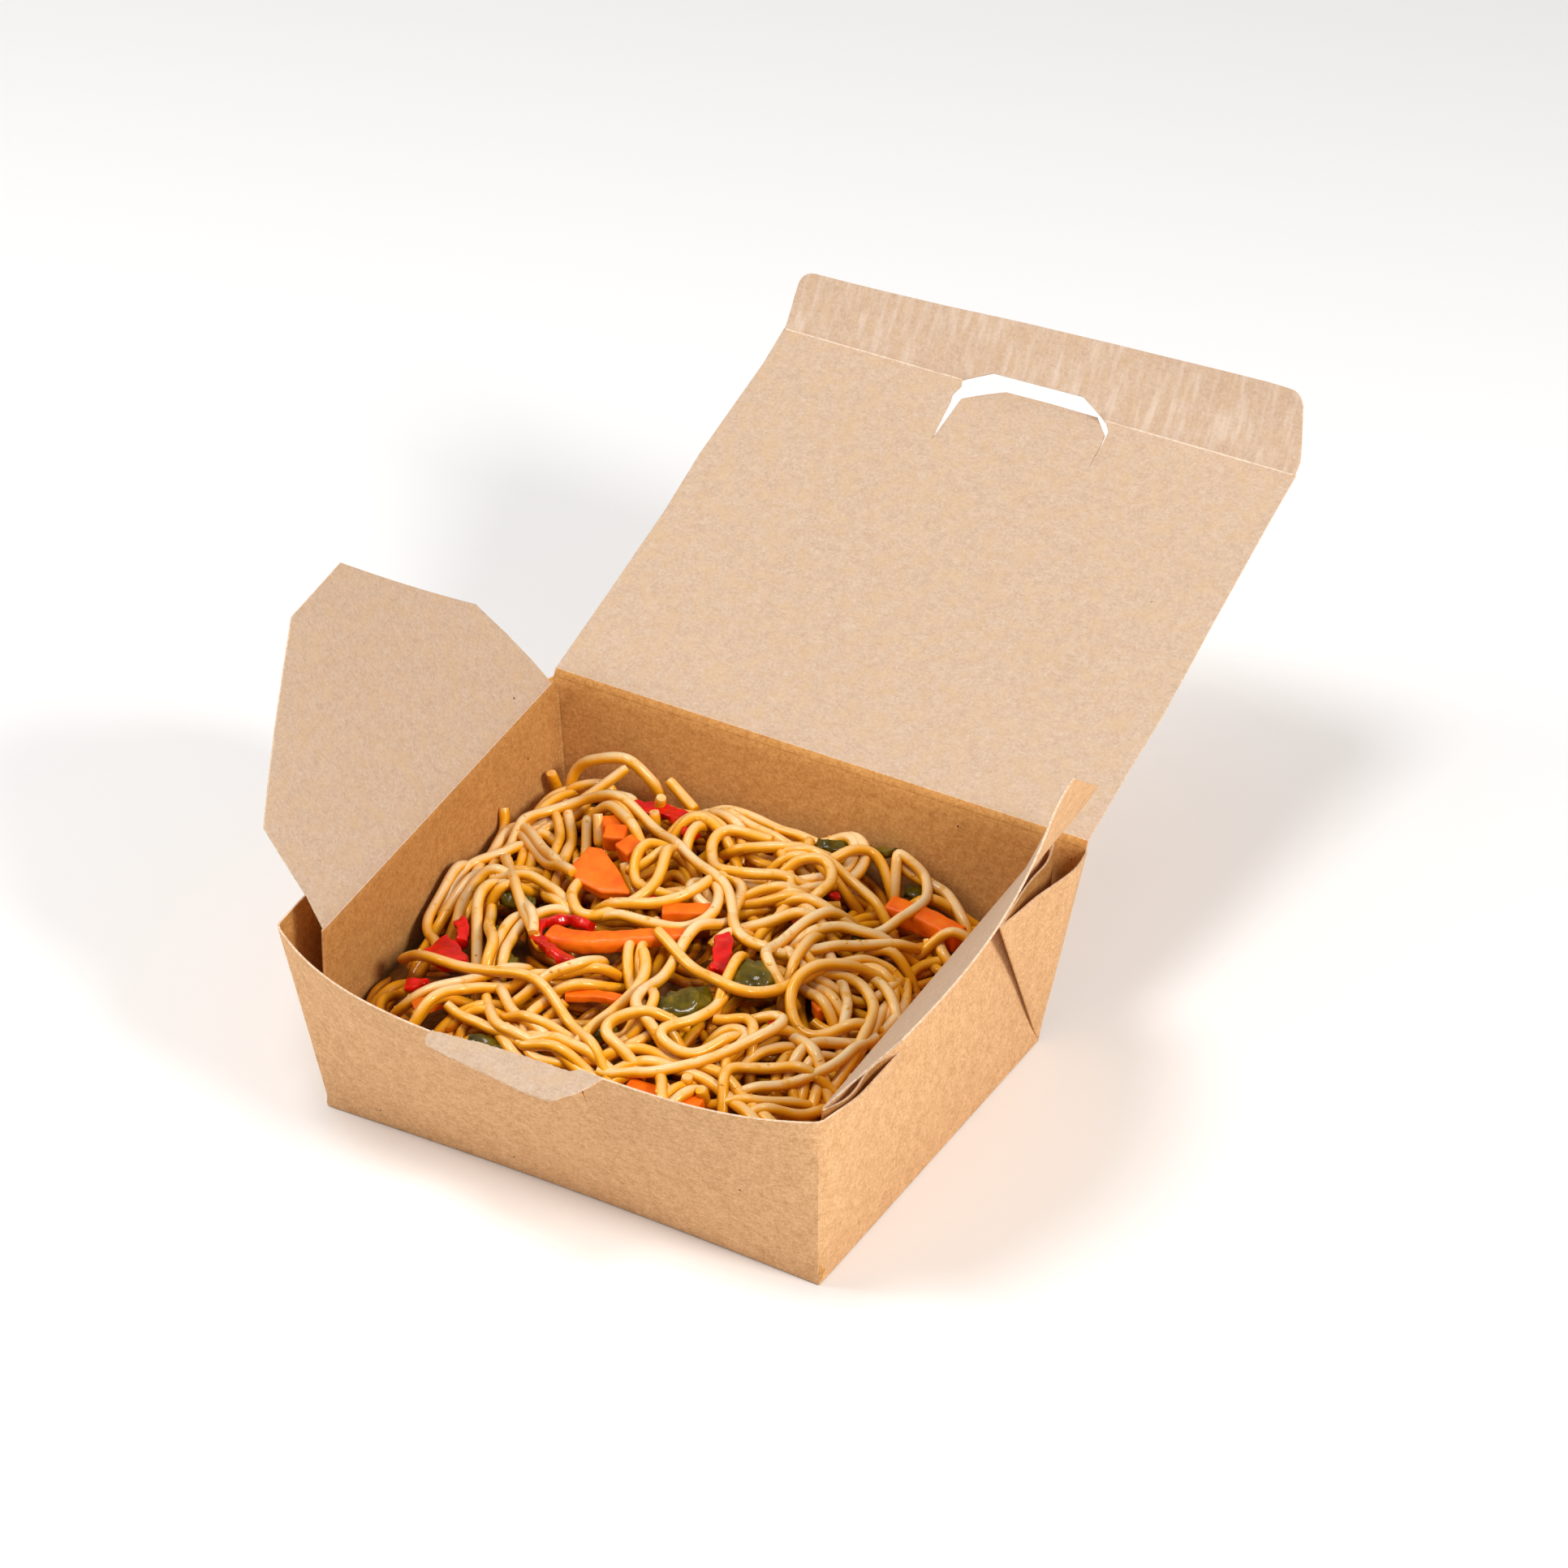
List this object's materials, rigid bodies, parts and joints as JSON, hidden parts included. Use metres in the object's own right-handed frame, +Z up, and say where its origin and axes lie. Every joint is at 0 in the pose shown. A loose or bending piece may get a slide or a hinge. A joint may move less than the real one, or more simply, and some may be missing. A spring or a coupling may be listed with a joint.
{
  "type": "noodle takeaway box",
  "caption": "Folded kraft board takeaway box with an open hinged lid, dust flaps and a front tab, filled with fried noodles and cut vegetables.",
  "frame": {"origin": "centre of the underside of the floor panel", "axes": "+Z up, -Y the front wall with the tab, +Y the back wall that carries the lid, +X the right side wall"},
  "size_m": [0.2366, 0.2962, 0.128],
  "materials": {
    "kraft_board": "matte",
    "kraft_inner": "matte",
    "noodle": "satin",
    "carrot": "satin",
    "red_pepper": "satin",
    "green_pepper": "satin"
  },
  "bodies": {
    "tray": {"tray": "kraft_board", "carrot_stick_long": "carrot", "carrot_stick_right": "carrot", "carrot_stick_front": "carrot", "carrot_shred": "carrot", "carrot_chunk": "carrot", "carrot_slab": "carrot", "carrot_dice_a": "carrot", "carrot_dice_b": "carrot", "carrot_dice_c": "carrot", "carrot_dice_d": "carrot", "carrot_piece_left": "carrot", "red_pepper_curl": "red_pepper", "red_pepper_arc": "red_pepper", "red_pepper_chunk": "red_pepper", "red_pepper_fold": "red_pepper", "red_pepper_low": "red_pepper", "red_pepper_strip": "red_pepper", "green_pepper_big": "green_pepper", "green_pepper_round": "green_pepper", "green_pepper_small": "green_pepper", "green_pepper_left_a": "green_pepper", "green_pepper_left_b": "green_pepper", "green_pepper_dark": "green_pepper", "green_pepper_front": "green_pepper", "green_pepper_yellow": "green_pepper", "green_pepper_ring": "green_pepper", "green_pepper_strip": "green_pepper", "noodles": "noodle"},
    "lid_crease": {"lid_crease": "kraft_inner"},
    "lid": {"lid": "kraft_inner"},
    "tuck_flap": {"tuck_flap": "kraft_inner"},
    "flap_left": {"flap_left": "kraft_inner"},
    "flap_right": {"flap_right": "kraft_inner"},
    "front_tab": {"front_tab": "kraft_inner"}
  },
  "joints": [
    {"name": "lid_crease_fold", "type": "hinge", "parent": "tray", "child": "lid_crease", "pos_m": [0.0001, 0.0683, 0.0618], "axis": [-1, 0.0082, 0], "range_deg": [-78.95, 8]},
    {"name": "lid_fold", "type": "hinge", "parent": "lid_crease", "child": "lid", "pos_m": [0.00011, 0.0693, 0.06353], "axis": [-1, 0.0082, 0], "range_deg": [-78.95, 12]},
    {"name": "tuck_fold", "type": "hinge", "parent": "lid", "child": "tuck_flap", "pos_m": [0.00111, 0.19113, 0.11301], "axis": [-0.9999, 0.0138, 0.0023], "range_deg": [-65, 35]},
    {"name": "flap_left_fold", "type": "hinge", "parent": "tray", "child": "flap_left", "pos_m": [-0.0771, 0.0018, 0.0616], "axis": [0.0971, -0.9953, 0], "range_deg": [-129.5, 35]},
    {"name": "flap_right_fold", "type": "hinge", "parent": "tray", "child": "flap_right", "pos_m": [0.07755, 0.0011, 0.0616], "axis": [-0.0458, 0.9989, 0], "range_deg": [-127.5, 40]},
    {"name": "front_tab_fold", "type": "hinge", "parent": "tray", "child": "front_tab", "pos_m": [-0.003, -0.08016, 0.05911], "axis": [-0.9983, -0.0564, -0.0175], "range_deg": [-12, 104]}
  ]
}
